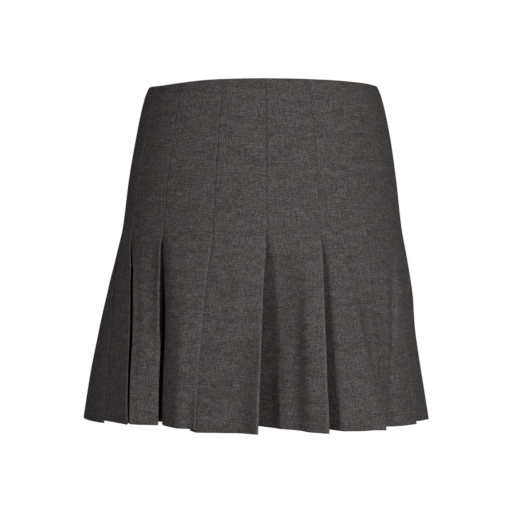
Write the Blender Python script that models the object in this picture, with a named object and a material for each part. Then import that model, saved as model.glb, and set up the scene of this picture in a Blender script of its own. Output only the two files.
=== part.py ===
"""A short skirt of knife pleats, filled out as when it is worn, open at the waist and the hem.

Metres, +Z up, the front towards -Y. The origin is the middle of the waist opening, level with the
top edge. Each height of the skirt is an ellipse, and the cloth runs round it in pleats: along a
panel to its fold, back under the panel, and forward again as the start of the next panel.
"""

import math
from collections import namedtuple

import bmesh
import bpy
import numpy as np

# Cloth and cut
LENGTH = 0.400
STITCHED = 0.170
CLOTH = 0.0010
PLY_PITCH = 0.0014
SEAM_GAP = 0.0003
LAP_AT_WAIST = 0.027
LAP_WHERE_STITCHING_ENDS = 0.033
LONGEST_CLIMB = 0.030
SOFT_FOLD_SPREAD = 0.17
OPENING_POWER = 0.8
SHARPEST_CORNER = 1.67

# The top edge dips a little between the front and the wearer's right side
TOP_DIP = 0.0026
TOP_DIP_AT = -57.0
TOP_DIP_SPREAD = 22.0
TOP_DIP_FADES_BY = 0.050

# Zip at the centre back. The panel's edges stand apart at the slider and meet further down
ZIP_LENGTH = 0.180
EDGES_APART_AT_SLIDER = 0.0026
EDGES_APART_TO = 0.012
EDGES_MEET_AT = 0.050
FLAT_BESIDE_ZIP = 0.015
TAPE_WIDTH = 0.012
TAPE_THICKNESS = 0.0010
TAPE_TOP = 0.003
COIL_TOP = 0.0125
COIL_HALF_WIDTH = 0.0018
COIL_THICKNESS = 0.0014

# The slider and its pull, measured from the slider's middle: out of the wall, up and to the side
SLIDER_DROP = 0.0072
SLIDER_HALF_HEIGHT = 0.0040
BODY_HALF_WIDTH = 0.0034
BODY_OUT = (-0.0046, -0.0021)
POST_HALF_WIDTH = 0.0007
POST_HALF_HEIGHT = 0.0026
POST_OUT = (-0.0024, 0.0012)
PLATE_HALF_WIDTH = 0.0017
PLATE_HALF_HEIGHT = 0.0036
PLATE_OUT = (0.0009, 0.0017)
BRIDGE_HALF_WIDTH = 0.0005
BRIDGE_HALF_HEIGHT = 0.0024
BRIDGE_OUT = (0.0014, 0.0040)
BRIDGE_WALL_UP = 0.0010
BRIDGE_WALL_OUT = 0.0006
PULL_AXIS_OUT = 0.0026
PULL_HALF_THICKNESS = 0.0004
PULL_TOP = 0.0004
PULL_NECK_HALF = 0.0016
PULL_NECK_END = -0.0045
PULL_TIP_RADIUS = 0.0027
PULL_TIP_MIDDLE = -0.0125
PULL_TIP_STEPS = 12
EYE_HALF_WIDTH = 0.0009
EYE_SPAN = (-0.0036, -0.0004)

# The garment's outline: how far below the top edge, half the width from side to side, half the
# depth from front to back, and how far the middle has swung towards +X
Level = namedtuple("Level", "drop half_width half_depth swing")
LEVELS = [
    Level(0.000, 0.1384, 0.0985, 0.0000),
    Level(0.012, 0.1431, 0.1005, 0.0000),
    Level(0.050, 0.1517, 0.1064, 0.0000),
    Level(0.110, 0.1614, 0.1140, -0.0008),
    Level(0.170, 0.1686, 0.1210, -0.0013),
    Level(0.205, 0.1757, 0.1250, -0.0020),
    Level(0.245, 0.1831, 0.1290, -0.0045),
    Level(0.295, 0.1903, 0.1335, -0.0083),
    Level(0.350, 0.1997, 0.1375, -0.0095),
    Level(0.400, 0.2075, 0.1410, -0.0093),
]

# Where along the drop each pleat's angle is given
MARKS = [0.0, STITCHED, 0.225, 0.295, LENGTH]

# One row for each pleat, going round from the wearer's right side across the front. The angles
# place its fold, from the front's middle, at the five marks. The rest is at the hem, in metres:
# how deep the pleat laps back, how far its fold stands out, how far the next panel sinks in and
# lies apart beside it, how far in the hidden fold lies, where across the panel a soft fold runs
# and how far it swells out or in, and how far the cloth hangs lower at the fold and after it.
Pleat = namedtuple(
    "Pleat",
    "waist stitch upper lower hem lap stand sink apart hidden fold_at fold_out low_edge low_after",
)
PLEATS = [
    Pleat(-88, -89, -76, -64, -58, 0.018, 0.001, 0.004, 0.000, 0.018, 0.45, 0.000, -0.0035, -0.0062),
    Pleat(-64, -64.6, -55, -47, -41.6, 0.018, 0.012, -0.009, 0.002, 0.020, 0.50, 0.000, -0.0062, -0.006),
    Pleat(-43, -43.4, -41.4, -37.5, -34.5, 0.018, -0.010, 0.021, 0.006, 0.030, 0.35, 0.002, -0.0048, -0.0043),
    Pleat(-19.6, -19.5, -20.1, -19.6, -19.9, 0.018, 0.003, 0.004, 0.000, 0.014, 0.60, 0.002, -0.0032, 0.0005),
    Pleat(0.7, 1.4, 0.8, 1.3, 0.3, 0.034, 0.007, 0.015, 0.000, 0.020, 0.50, 0.001, 0.001, -0.0016),
    Pleat(21.4, 22.6, 22.6, 23.4, 22, 0.034, 0.007, 0.013, 0.000, 0.019, 0.66, -0.008, 0.002, 0.000),
    Pleat(43.5, 45, 43.8, 44.5, 43.6, 0.030, 0.004, 0.004, 0.000, 0.010, 0.65, 0.006, 0.0006, -0.001),
    Pleat(66, 66, 61.6, 64, 62.7, 0.026, 0.004, 0.005, 0.000, 0.011, 0.30, -0.003, -0.0014, -0.004),
    Pleat(91, 92, 91.5, 91, 90, 0.032, -0.001, 0.008, 0.000, 0.014, 0.55, 0.000, -0.0008, -0.002),
    Pleat(117, 118, 117.5, 117, 118, 0.033, 0.006, 0.010, 0.000, 0.017, 0.50, -0.004, 0.0005, -0.0015),
    Pleat(142, 142, 143, 144, 146, 0.034, 0.006, 0.012, 0.000, 0.018, 0.60, -0.006, 0.001, -0.0015),
    Pleat(164.5, 164.5, 166.5, 169, 173, 0.034, 0.006, 0.009, 0.000, 0.016, 0.40, 0.004, 0.001, -0.001),
    Pleat(208, 208, 210.5, 213, 218, 0.034, 0.007, 0.012, 0.000, 0.018, 0.70, 0.005, 0.001, -0.0015),
    Pleat(226.5, 226.5, 231, 236, 243, 0.032, 0.005, 0.010, 0.000, 0.017, 0.50, -0.005, 0.000, -0.002),
    Pleat(248, 248, 254, 260, 268, 0.026, -0.002, 0.008, 0.000, 0.015, 0.50, 0.002, -0.001, -0.003),
]
FRONT_ENDS_AT = 8
ZIP_PANEL = 12

# Colours, roughness and metallic values
SUITING = (0.070, 0.063, 0.064, 1.0)
TAPE = (0.045, 0.041, 0.042, 1.0)
COIL = (0.050, 0.047, 0.047, 1.0)
METAL = (0.17, 0.165, 0.165, 1.0)


def clear_scene():
    """Remove the scene's objects, so that only the skirt is left."""
    for thing in list(bpy.data.objects):
        bpy.data.objects.remove(thing, do_unlink=True)


def finish(name, colour, roughness, metallic):
    """A plain Principled material."""
    material = bpy.data.materials.new(name)
    material.use_nodes = True
    shader = material.node_tree.nodes["Principled BSDF"]
    shader.inputs["Base Color"].default_value = colour
    shader.inputs["Roughness"].default_value = roughness
    shader.inputs["Metallic"].default_value = metallic
    material.diffuse_color = colour
    return material


def level(drop, column):
    """The outline's value in this column at any drop, on a straight line between the levels."""
    return np.interp(drop, [row.drop for row in LEVELS], [getattr(row, column) for row in LEVELS])


def below_stitching(drop):
    """The share of the way from the end of the stitching, 0, to the hem, 1."""
    return max((drop - STITCHED) / (LENGTH - STITCHED), 0.0)


def openness(drop):
    """How far the pleats have opened: 0 down to the end of the stitching, 1 at the hem."""
    return below_stitching(drop) ** OPENING_POWER


class Ring:
    """The ellipse at one drop, measured by arc length from the middle of the front."""

    def __init__(self, drop):
        self.width = level(drop, "half_width")
        self.depth = level(drop, "half_depth")
        self.swing = level(drop, "swing")
        self.angles = np.radians(np.arange(-180.0, 541.0))
        sideways_steps = np.diff(self.width * np.sin(self.angles))
        steps = np.hypot(sideways_steps, np.diff(self.depth * np.cos(self.angles)))
        arcs = np.concatenate([[0.0], np.cumsum(steps)])
        self.arcs = arcs - np.interp(0.0, self.angles, arcs)

    def arc(self, degrees):
        """Arc length from the front's middle to this angle."""
        return np.interp(math.radians(degrees), self.angles, self.arcs)

    def top_dip(self, arc):
        """How far the top edge dips at this arc length: a bell round its middle."""
        degrees = np.degrees(np.interp(arc, self.arcs, self.angles))
        return TOP_DIP * np.exp(-(((degrees - TOP_DIP_AT) / TOP_DIP_SPREAD) ** 2))

    def place(self, arc, out):
        """The point at this arc length, moved out along the ellipse's normal."""
        angle = np.interp(arc, self.arcs, self.angles)
        across = self.depth * np.sin(angle)
        along = -self.width * np.cos(angle)
        size = np.hypot(across, along)
        x = self.swing + self.width * np.sin(angle) + out * across / size
        y = -self.depth * np.cos(angle) + out * along / size
        return x, y


def face_out(across, climbed, start_out, pleat, opened):
    """How far out a panel lies at a share across it, from 0 at its start to 1 at its fold.

    It climbs from its start to the outside by the share called climbed, stands out towards its
    fold by the square of the share, and has one soft fold in the shape of a bell.
    """
    climb = np.clip(1.0 - across / climbed, 0.0, 1.0) ** 2
    bell = np.exp(-(((across - pleat.fold_at) / SOFT_FOLD_SPREAD) ** 2)) * np.sin(math.pi * across)
    return start_out * climb + opened * (pleat.stand * across ** 2 + pleat.fold_out * bell)


def edges_apart(drop, at_rest):
    """How far apart two edges lie beside the zip: parted by the slider, and at rest further down."""
    return np.interp(drop, [EDGES_APART_TO, EDGES_MEET_AT], [EDGES_APART_AT_SLIDER, at_rest])


def free_arcs(ring, index, start, lap_start, drop):
    """Where a panel's points lie before the layers under it begin, with the zip's seam if it has one."""
    if index != ZIP_PANEL:
        return np.linspace(start, lap_start, 4)[:-1]
    seam = ring.arc(180.0)
    half_gap = edges_apart(drop, SEAM_GAP) / 2
    flat_from = seam - FLAT_BESIDE_ZIP
    flat_to = seam + FLAT_BESIDE_ZIP
    before = [start, (start + flat_from) / 2, flat_from, seam - half_gap]
    after = [seam + half_gap, flat_to, (flat_to + lap_start) / 2]
    return np.array(before + after)


def pleated_path(drop):
    """The cloth's middle line round the skirt at one drop: arc, out and extra hang for each point."""
    ring = Ring(drop)
    opened = openness(drop)
    folds = [
        ring.arc(np.interp(drop, MARKS, [row.waist, row.stitch, row.upper, row.lower, row.hem]))
        for row in PLEATS
    ]
    round_once = ring.arc(360.0)
    lap_stitched = np.interp(drop, [0.0, STITCHED], [LAP_AT_WAIST, LAP_WHERE_STITCHING_ENDS])
    half = PLY_PITCH / 2
    panels = []
    for index, pleat in enumerate(PLEATS):
        before = PLEATS[index - 1]
        fold = folds[index]
        start = folds[index - 1] + before.apart * opened - (round_once if index == 0 else 0.0)
        start_out = -2 * PLY_PITCH - before.sink * opened
        lap = lap_stitched + (pleat.lap - lap_stitched) * below_stitching(drop)
        layers = fold - lap * np.array([1.0, 2 / 3, 1 / 3, 0.0])
        arcs = np.concatenate([free_arcs(ring, index, start, layers[0], drop), layers])
        across = (arcs - start) / (fold - start)
        climbed = min(across[-4], LONGEST_CLIMB / (fold - start))
        outs = face_out(across, climbed, start_out, pleat, opened)
        face = outs[-4:]

        # Under the panel, the cloth runs back to the hidden fold and then on to the next panel
        hidden = -1.5 * PLY_PITCH - pleat.hidden * opened
        pitch = PLY_PITCH * math.hypot(1.0, (face[-1] - hidden) / lap)
        share = np.array([0.0, 1 / 3, 2 / 3, 1.0])
        back_start = hidden + pitch / 2
        back = np.minimum(back_start + (face[-1] - pitch - back_start) * share, face - pitch)
        under_start = hidden - pitch / 2
        next_out = -2 * PLY_PITCH - pleat.sink * opened
        under = np.minimum(under_start + (next_out - under_start) * share, back - pitch)

        tip = [(fold + half, face[-1] - pitch / 2)]
        hidden_tip = [(layers[0] - half, (back[0] + under[0]) / 2)]
        forward = list(zip(arcs, outs))
        backward = list(zip(layers, back))[::-1]
        onward = list(zip(layers, under))[:-1]
        points = np.array(forward + tip + backward + hidden_tip + onward)

        low = np.full(len(points), pleat.low_edge)
        low[: len(arcs)] = before.low_after + (pleat.low_edge - before.low_after) * across
        low[-3:] = pleat.low_edge + (pleat.low_after - pleat.low_edge) * share[:3]
        panels.append(np.column_stack([points, low * opened]))
    return ring, panels


def row_of_points(drop):
    """Each panel's points at one drop, as x, y, z."""
    ring, panels = pleated_path(drop)
    dips = max(1.0 - drop / TOP_DIP_FADES_BY, 0.0)
    placed = []
    for panel in panels:
        x, y = ring.place(panel[:, 0], panel[:, 1])
        z = -drop - panel[:, 2] - dips * ring.top_dip(panel[:, 0])
        placed.append(np.column_stack([x, y, z]))
    return placed


def shift_ends(line):
    """Draw both ends of a line back by half a seam's gap."""
    line = line.copy()
    for end, inner in ((0, 1), (-1, -2)):
        step = line[inner] - line[end]
        line[end] += step / np.linalg.norm(step) * SEAM_GAP / 2
    return line


def front_line(panels):
    """The front: from the hidden seam at the wearer's right to the one at the left."""
    pieces = [panels[0][-2:]] + panels[1 : FRONT_ENDS_AT + 1]
    return shift_ends(np.concatenate(pieces)[:-1])


def back_left_line(panels):
    """The wearer's left back: from the left seam to the zip's seam."""
    pieces = [panels[FRONT_ENDS_AT][-2:]] + panels[FRONT_ENDS_AT + 1 : ZIP_PANEL] + [panels[ZIP_PANEL][:4]]
    line = np.concatenate(pieces)
    line[0] = shift_ends(line[:2])[0]
    return line


def back_right_line(panels):
    """The wearer's right back: from the zip's seam to the right seam."""
    pieces = [panels[ZIP_PANEL][4:]] + panels[ZIP_PANEL + 1 :] + [panels[0][:-1]]
    line = np.concatenate(pieces)
    line[-1] = shift_ends(line[-2:])[-1]
    return line


def sideways(line):
    """The unit normal to the right of a line of points, lengthened at corners so that walls stay even."""
    steps = np.diff(line[:, :2], axis=0)
    steps /= np.linalg.norm(steps, axis=1)[:, None]
    normals = np.column_stack([steps[:, 1], -steps[:, 0]])
    before = np.vstack([normals[:1], normals])
    after = np.vstack([normals, normals[-1:]])
    middle = before + after
    middle /= np.linalg.norm(middle, axis=1)[:, None]
    stretch = 1.0 / np.clip(np.sum(middle * before, axis=1), 1.0 / SHARPEST_CORNER, 1.0)
    return middle * stretch[:, None]


def wall(name, lines, thickness, material):
    """A closed wall on rows of points, half its thickness to each side, split along like diagonals."""
    rows = len(lines)
    count = len(lines[0])
    outer = []
    inner = []
    for line in lines:
        step = np.zeros_like(line)
        step[:, :2] = sideways(line) * thickness / 2
        outer.append(line + step)
        inner.append(line - step)
    mesh = bpy.data.meshes.new(name)
    shape = bmesh.new()
    skins = [[[shape.verts.new(point) for point in line] for line in side] for side in (outer, inner)]
    top = lines[0]
    for side, skin in enumerate(skins):
        for row in range(rows - 1):
            for j in range(count - 1):
                a, b = skin[row][j], skin[row][j + 1]
                c, d = skin[row + 1][j + 1], skin[row + 1][j]
                runs_back = top[j][0] * top[j + 1][1] - top[j][1] * top[j + 1][0] < 0.0
                halves = ((a, d, b), (b, d, c)) if runs_back else ((a, d, c), (a, c, b))
                for half in halves:
                    shape.faces.new(half if side == 0 else half[::-1])
    for row, flip in ((0, False), (rows - 1, True)):
        for j in range(count - 1):
            rim = (skins[0][row][j], skins[0][row][j + 1], skins[1][row][j + 1], skins[1][row][j])
            shape.faces.new(rim[::-1] if flip else rim)
    for j, flip in ((0, True), (count - 1, False)):
        for row in range(rows - 1):
            end = (skins[0][row][j], skins[0][row + 1][j], skins[1][row + 1][j], skins[1][row][j])
            shape.faces.new(end[::-1] if flip else end)
    bmesh.ops.recalc_face_normals(shape, faces=shape.faces)
    shape.to_mesh(mesh)
    shape.free()
    add_piece(name, mesh, material)


def add_piece(name, mesh, material):
    """Put a mesh into the scene under this name."""
    mesh.materials.append(material)
    piece = bpy.data.objects.new(name, mesh)
    bpy.context.scene.collection.objects.link(piece)
    return piece


def beside_seam(drop, distance, out):
    """A point beside the zip's seam at any drop, on the straight line between the wall's levels."""
    drops = [row.drop for row in LEVELS]
    rings = [Ring(each) for each in drops]
    places = np.array([ring.place(ring.arc(180.0) + distance, out) for ring in rings])
    return [np.interp(drop, drops, places[:, 0]), np.interp(drop, drops, places[:, 1]), -drop]


def drops_along_zip(top, bottom):
    """Drops from top to bottom, with each level of the wall between them."""
    return [top] + [row.drop for row in LEVELS if top < row.drop < bottom] + [bottom]


def zip_tape(name, side, material):
    """One tape of the zip, flat inside its back panel and parted from it by a seam's gap."""
    out = -(CLOTH / 2 + SEAM_GAP + TAPE_THICKNESS / 2)
    lines = []
    for drop in drops_along_zip(TAPE_TOP, ZIP_LENGTH):
        edge = edges_apart(drop, SEAM_GAP * 2) / 2
        ends = [edge, TAPE_WIDTH] if side > 0 else [-TAPE_WIDTH, -edge]
        lines.append(np.array([beside_seam(drop, distance, out) for distance in ends]))
    wall(name, lines, TAPE_THICKNESS, material)


def prism(name, outline, low, high, place):
    """A closed prism: a flat outline carried from low to high, put into x, y, z by place."""
    mesh = bpy.data.meshes.new(name)
    shape = bmesh.new()
    ends = [[shape.verts.new(place(p, q, t)) for p, q in outline] for t in (low, high)]
    shape.faces.new(ends[0])
    shape.faces.new(ends[1][::-1])
    count = len(outline)
    for j in range(count):
        k = (j + 1) % count
        shape.faces.new((ends[0][k], ends[0][j], ends[1][j], ends[1][k]))
    bmesh.ops.recalc_face_normals(shape, faces=shape.faces)
    shape.to_mesh(mesh)
    shape.free()
    return mesh


def box_outline(p_span, q_span):
    """A rectangle's corners, from its span along each of its two sides."""
    return [(p_span[a], q_span[b]) for a, b in ((0, 0), (1, 0), (1, 1), (0, 1))]


def seam_frame(drop):
    """The point on the back seam at this drop, and the directions out of the wall and up along it."""
    top = np.array(beside_seam(0.0, 0.0, 0.0))
    low = np.array(beside_seam(EDGES_APART_TO, 0.0, 0.0))
    up = (top - low) / np.linalg.norm(top - low)
    out = np.array([0.0, up[2], -up[1]])
    here = top + (low - top) * drop / EDGES_APART_TO
    return here, out, up


def combine(base, other, operation):
    """Join another closed shape to this one, or cut it away, and hide that other shape."""
    modifier = base.modifiers.new(operation.lower(), "BOOLEAN")
    modifier.operation = operation
    modifier.solver = "EXACT"
    modifier.object = other
    other.hide_render = True
    other.display_type = "WIRE"


def staple_outline(out_span, half_height):
    """A staple seen from the side: two legs down to the plate and a bar across them."""
    low, high = out_span
    leg = half_height - BRIDGE_WALL_UP
    bar = high - BRIDGE_WALL_OUT
    outer = [(low, -half_height), (high, -half_height), (high, half_height), (low, half_height)]
    return outer + [(low, leg), (bar, leg), (bar, -leg), (low, -leg)]


def zip_slider(material):
    """The slider: a body inside the skirt, a post through the seam, and a bridge outside for the pull."""
    here, out, up = seam_frame(SLIDER_DROP)

    def place(p, q, t):
        return here + out * p + up * q + np.array([t, 0.0, 0.0])

    def block(name, outline, half_width):
        return add_piece(name, prism(name, outline, -half_width, half_width, place), material)

    body = box_outline(BODY_OUT, (-SLIDER_HALF_HEIGHT, SLIDER_HALF_HEIGHT))
    slider = block("zip_slider", body, BODY_HALF_WIDTH)
    post = box_outline(POST_OUT, (-POST_HALF_HEIGHT, POST_HALF_HEIGHT))
    combine(slider, block("slider_post", post, POST_HALF_WIDTH), "UNION")
    plate = box_outline(PLATE_OUT, (-PLATE_HALF_HEIGHT, PLATE_HALF_HEIGHT))
    combine(slider, block("slider_plate", plate, PLATE_HALF_WIDTH), "UNION")
    bridge = staple_outline(BRIDGE_OUT, BRIDGE_HALF_HEIGHT)
    combine(slider, block("slider_bridge", bridge, BRIDGE_HALF_WIDTH), "UNION")


def zip_pull(material):
    """The pull: a drop-shaped tab with an eye round the bridge, lying down the slope of the seam."""
    here, out, up = seam_frame(SLIDER_DROP)

    def place(p, q, t):
        return np.array([p, t, q])

    # The outline runs round a drop: straight sides from the narrow top, and half a circle below
    outline = [(PULL_NECK_HALF, PULL_TOP), (-PULL_NECK_HALF, PULL_TOP), (-PULL_NECK_HALF, PULL_NECK_END)]
    for turn in np.linspace(math.pi, 2 * math.pi, PULL_TIP_STEPS + 1):
        rise = PULL_TIP_RADIUS * math.sin(turn)
        outline.append((PULL_TIP_RADIUS * math.cos(turn), PULL_TIP_MIDDLE + rise))
    outline.append((PULL_NECK_HALF, PULL_NECK_END))
    half = PULL_HALF_THICKNESS
    pull = add_piece("zip_pull", prism("zip_pull", outline, -half, half, place), material)
    hole = box_outline((-EYE_HALF_WIDTH, EYE_HALF_WIDTH), EYE_SPAN)
    eye = add_piece("pull_eye", prism("pull_eye", hole, -2 * half, 2 * half, place), material)
    eye.parent = pull
    combine(pull, eye, "DIFFERENCE")
    pull.location = here + out * PULL_AXIS_OUT
    pull.rotation_euler = (math.atan2(-up[1], up[2]), 0.0, 0.0)


def zip_coil(material):
    """The closed coils of the zip, as one slim strip behind the tapes, from the slider to the bottom."""
    out = -(CLOTH / 2 + SEAM_GAP + TAPE_THICKNESS + SEAM_GAP + COIL_THICKNESS / 2)
    lines = []
    for drop in drops_along_zip(COIL_TOP, ZIP_LENGTH):
        edges = (-COIL_HALF_WIDTH, COIL_HALF_WIDTH)
        lines.append(np.array([beside_seam(drop, distance, out) for distance in edges]))
    wall("zip_coil", lines, COIL_THICKNESS, material)


def main():
    clear_scene()
    rows = [row_of_points(row.drop) for row in LEVELS]
    cloth = finish("suiting", SUITING, 0.9, 0.0)
    wall("skirt_front", [front_line(panels) for panels in rows], CLOTH, cloth)
    wall("skirt_back_left", [back_left_line(panels) for panels in rows], CLOTH, cloth)
    wall("skirt_back_right", [back_right_line(panels) for panels in rows], CLOTH, cloth)
    tape = finish("zip tape", TAPE, 0.8, 0.0)
    zip_tape("zip_tape_left", -1, tape)
    zip_tape("zip_tape_right", 1, tape)
    zip_coil(finish("zip coil", COIL, 0.6, 0.0))
    metal = finish("zip metal", METAL, 0.35, 1.0)
    zip_slider(metal)
    zip_pull(metal)


main()
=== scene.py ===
import math
from collections import namedtuple

import bmesh
import bpy
import numpy as np
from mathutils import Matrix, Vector


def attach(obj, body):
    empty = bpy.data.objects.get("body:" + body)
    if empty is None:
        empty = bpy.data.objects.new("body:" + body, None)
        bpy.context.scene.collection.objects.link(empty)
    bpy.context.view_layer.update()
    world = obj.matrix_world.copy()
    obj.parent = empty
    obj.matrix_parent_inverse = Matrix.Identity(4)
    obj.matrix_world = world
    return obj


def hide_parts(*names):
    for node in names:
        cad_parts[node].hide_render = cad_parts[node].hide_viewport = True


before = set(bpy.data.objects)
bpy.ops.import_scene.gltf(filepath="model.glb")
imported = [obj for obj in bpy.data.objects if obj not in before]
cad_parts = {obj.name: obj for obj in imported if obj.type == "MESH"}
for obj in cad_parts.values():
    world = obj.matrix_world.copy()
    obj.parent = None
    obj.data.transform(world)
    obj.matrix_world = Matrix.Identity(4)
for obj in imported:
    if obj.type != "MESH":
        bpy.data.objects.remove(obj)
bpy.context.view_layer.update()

# Camera. It stands 1.72 m before the skirt's middle and 20 cm below the waist, level and square to
# the front, with a long lens, as the bow of the waist and the hem shows.
CAMERA_PLACE = (-0.0086, -1.72, -0.203)
FOCAL_LENGTH = 99.8
SENSOR = 36.0

camera_data = bpy.data.cameras.new("camera")
camera_data.lens = FOCAL_LENGTH
camera_data.sensor_width = SENSOR
camera = bpy.data.objects.new("camera", camera_data)
camera.location = CAMERA_PLACE
camera.rotation_euler = (math.radians(90.0), 0.0, 0.0)
bpy.context.scene.collection.objects.link(camera)
bpy.context.scene.camera = camera

# The skirt's cloth, in three pieces that are joined at the side seams and at the centre back:
# dark grey wool suiting, pressed into knife pleats that all turn one way, stitched down for 17 cm
# and free from there to the hem. Where it is folded, its plies lie a little apart.
LENGTH = 0.400
STITCHED = 0.170
CLOTH_THICKNESS = 0.00045
PLY_PITCH = 0.00075
LAP_AT_WAIST = 0.027
LAP_WHERE_STITCHING_ENDS = 0.033

# A panel starts two plies in from the oval, and the middle of a hidden fold is one and a half in
START_OUT = -2 * PLY_PITCH
HIDDEN_OUT = -1.5 * PLY_PITCH

# The pleats open by a power of the share of the way to the hem, eased in over its first part
OPENING_POWER = 0.8
OPENING_SHARE = 0.12

# The top edge dips a little between the front and the wearer's right side
TOP_DIP = 0.0026
TOP_DIP_AT = -57.0
TOP_DIP_SPREAD = 22.0
TOP_DIP_FADES_BY = 0.050

# The panel with the zip: its two edges stand apart at the slider and meet further down
EDGES_APART_AT_SLIDER = 0.0026
EDGES_APART_TO = 0.012
EDGES_MEET_AT = 0.050
EDGE_ROLLS_IN = 0.0005
EDGE_ROLLS_OVER = 0.0016

# The oval that the cloth runs round, at ten levels: how far down it lies, its half width and half
# depth, and how far its middle swings towards the wearer's left
Level = namedtuple("Level", "drop half_width half_depth swing")
LEVELS = [
    Level(0.000, 0.1384, 0.0985, 0.0000),
    Level(0.012, 0.1431, 0.1005, 0.0000),
    Level(0.050, 0.1517, 0.1064, 0.0000),
    Level(0.110, 0.1614, 0.1140, -0.0008),
    Level(0.170, 0.1686, 0.1210, -0.0013),
    Level(0.205, 0.1757, 0.1250, -0.0020),
    Level(0.245, 0.1831, 0.1290, -0.0045),
    Level(0.295, 0.1903, 0.1335, -0.0083),
    Level(0.350, 0.1997, 0.1375, -0.0095),
    Level(0.400, 0.2075, 0.1410, -0.0093),
]

# Angles run in degrees from the middle of the front, by the wearer's left to the centre back. The
# ovals are measured from the first degree here to the last, which is twice round.
CENTRE_BACK = 180.0
ONCE_ROUND = 360.0
FIRST_DEGREE = -180
LAST_DEGREE = 540

# Where the folds run, from the wearer's right side across the front and round the back: the angle
# of each at five marks down the skirt, and how low the hem hangs at the fold and just after it.
MARKS = [0.0, STITCHED, 0.225, 0.295, LENGTH]
Fold = namedtuple("Fold", "waist stitch upper lower hem low_edge low_after")
FOLDS = [
    Fold(-88.0, -89.0, -76.0, -64.0, -58.0, -0.0035, -0.0062),
    Fold(-64.0, -64.8, -56.2, -48.2, -42.6, -0.0062, -0.0060),
    Fold(-43.0, -42.9, -40.3, -36.4, -34.3, -0.0048, -0.0043),
    Fold(-19.6, -19.5, -20.1, -19.3, -19.1, -0.0032, 0.0005),
    Fold(0.7, 1.4, 0.8, 1.3, 0.3, -0.0010, -0.0016),
    Fold(21.4, 22.6, 22.6, 23.4, 22.0, 0.0006, 0.0000),
    Fold(43.5, 45.0, 43.8, 44.5, 43.6, 0.0006, -0.0010),
    Fold(66.0, 66.0, 61.6, 64.0, 62.7, -0.0014, -0.0040),
    Fold(91.0, 92.0, 91.5, 91.0, 90.0, -0.0008, -0.0020),
    Fold(117.0, 118.0, 117.5, 117.0, 118.0, 0.0005, -0.0015),
    Fold(142.0, 142.0, 143.0, 144.0, 146.0, 0.0010, -0.0015),
    Fold(164.5, 164.5, 166.5, 169.0, 173.0, 0.0010, -0.0010),
    Fold(208.0, 208.0, 210.5, 213.0, 218.0, 0.0010, -0.0015),
    Fold(226.5, 226.5, 231.0, 236.0, 243.0, 0.0000, -0.0020),
    Fold(248.0, 248.0, 254.0, 260.0, 268.0, -0.0010, -0.0030),
]

# How each pleat lies, in metres at the hem: how deep it laps back, how far its fold stands out, how
# far the next panel sinks in beside it and how much further its hidden start does, how far apart it
# lies, a third of the way down and at the hem, how far it takes to climb out again and by which
# power, how far in the hidden fold lies, where the panel's soft fold runs and how far that swells,
# how round the fold's edge opens, how wide the groove beside the fold is where it is stitched, and
# how strong the highlight painted along the fold's edge is.
Pleat = namedtuple(
    "Pleat", "lap stand sink cave apart apart_hem climb easing hidden fold_at fold_out rounds groove worn"
)
PLEATS = [
    Pleat(0.018, 0.000, 0.000, 0.000, 0.000, 0.000, 0.020, 1.6, 0.006, 0.45, 0.000, 0.0, 0.0006, 0.0),
    Pleat(0.018, 0.011, -0.0065, 0.016, 0.0024, 0.000, 0.016, 2.0, 0.022, 0.50, 0.000, 0.0, 0.0008, 0.0),
    Pleat(0.026, -0.010, 0.020, 0.024, 0.003, 0.0016, 0.042, 2.0, 0.042, 0.35, 0.002, 1.6, 0.0020, 0.5),
    Pleat(0.0105, -0.002, 0.000, 0.000, 0.000, 0.000, 0.010, 1.6, 0.014, 0.60, 0.003, 0.6, 0.0018, 1.0),
    Pleat(0.034, 0.010, 0.021, 0.003, 0.000, 0.000, 0.031, 0.85, 0.034, 0.50, 0.001, 1.3, 0.0025, 1.0),
    Pleat(0.034, 0.009, 0.050, 0.004, 0.000, 0.000, 0.023, 0.95, 0.036, 0.66, -0.002, 1.6, 0.0028, 1.0),
    Pleat(0.030, 0.004, 0.011, 0.000, 0.000, 0.000, 0.016, 1.6, 0.018, 0.65, 0.004, 0.8, 0.0008, 0.5),
    Pleat(0.026, 0.004, 0.011, 0.000, 0.000, 0.000, 0.014, 1.6, 0.016, 0.30, -0.003, 0.8, 0.0008, 0.5),
    Pleat(0.032, -0.001, 0.008, 0.000, 0.000, 0.000, 0.015, 1.6, 0.014, 0.55, 0.000, 1.0, 0.0012, 0.5),
    Pleat(0.033, 0.006, 0.014, 0.004, 0.000, 0.000, 0.019, 1.4, 0.022, 0.50, -0.004, 1.3, 0.0016, 0.8),
    Pleat(0.034, 0.008, 0.018, 0.004, 0.001, 0.001, 0.019, 1.3, 0.026, 0.60, -0.006, 1.4, 0.0018, 0.8),
    Pleat(0.034, 0.006, 0.013, 0.004, 0.000, 0.000, 0.017, 1.5, 0.021, 0.40, 0.004, 1.2, 0.0016, 0.8),
    Pleat(0.034, 0.008, 0.018, 0.004, 0.001, 0.000, 0.019, 1.3, 0.026, 0.70, 0.005, 1.3, 0.0018, 0.8),
    Pleat(0.032, 0.005, 0.014, 0.004, 0.000, 0.000, 0.018, 1.5, 0.022, 0.50, -0.005, 1.2, 0.0016, 0.8),
    Pleat(0.026, -0.002, 0.011, 0.000, 0.000, 0.000, 0.017, 1.6, 0.017, 0.50, 0.002, 1.0, 0.0010, 0.5),
]
FRONT_ENDS_AT = 8
ZIP_PANEL = 12
SOFT_FOLD_SPREAD = 0.17
APART_MARKS = [0.0, 0.08, 0.35, 1.0]
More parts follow.
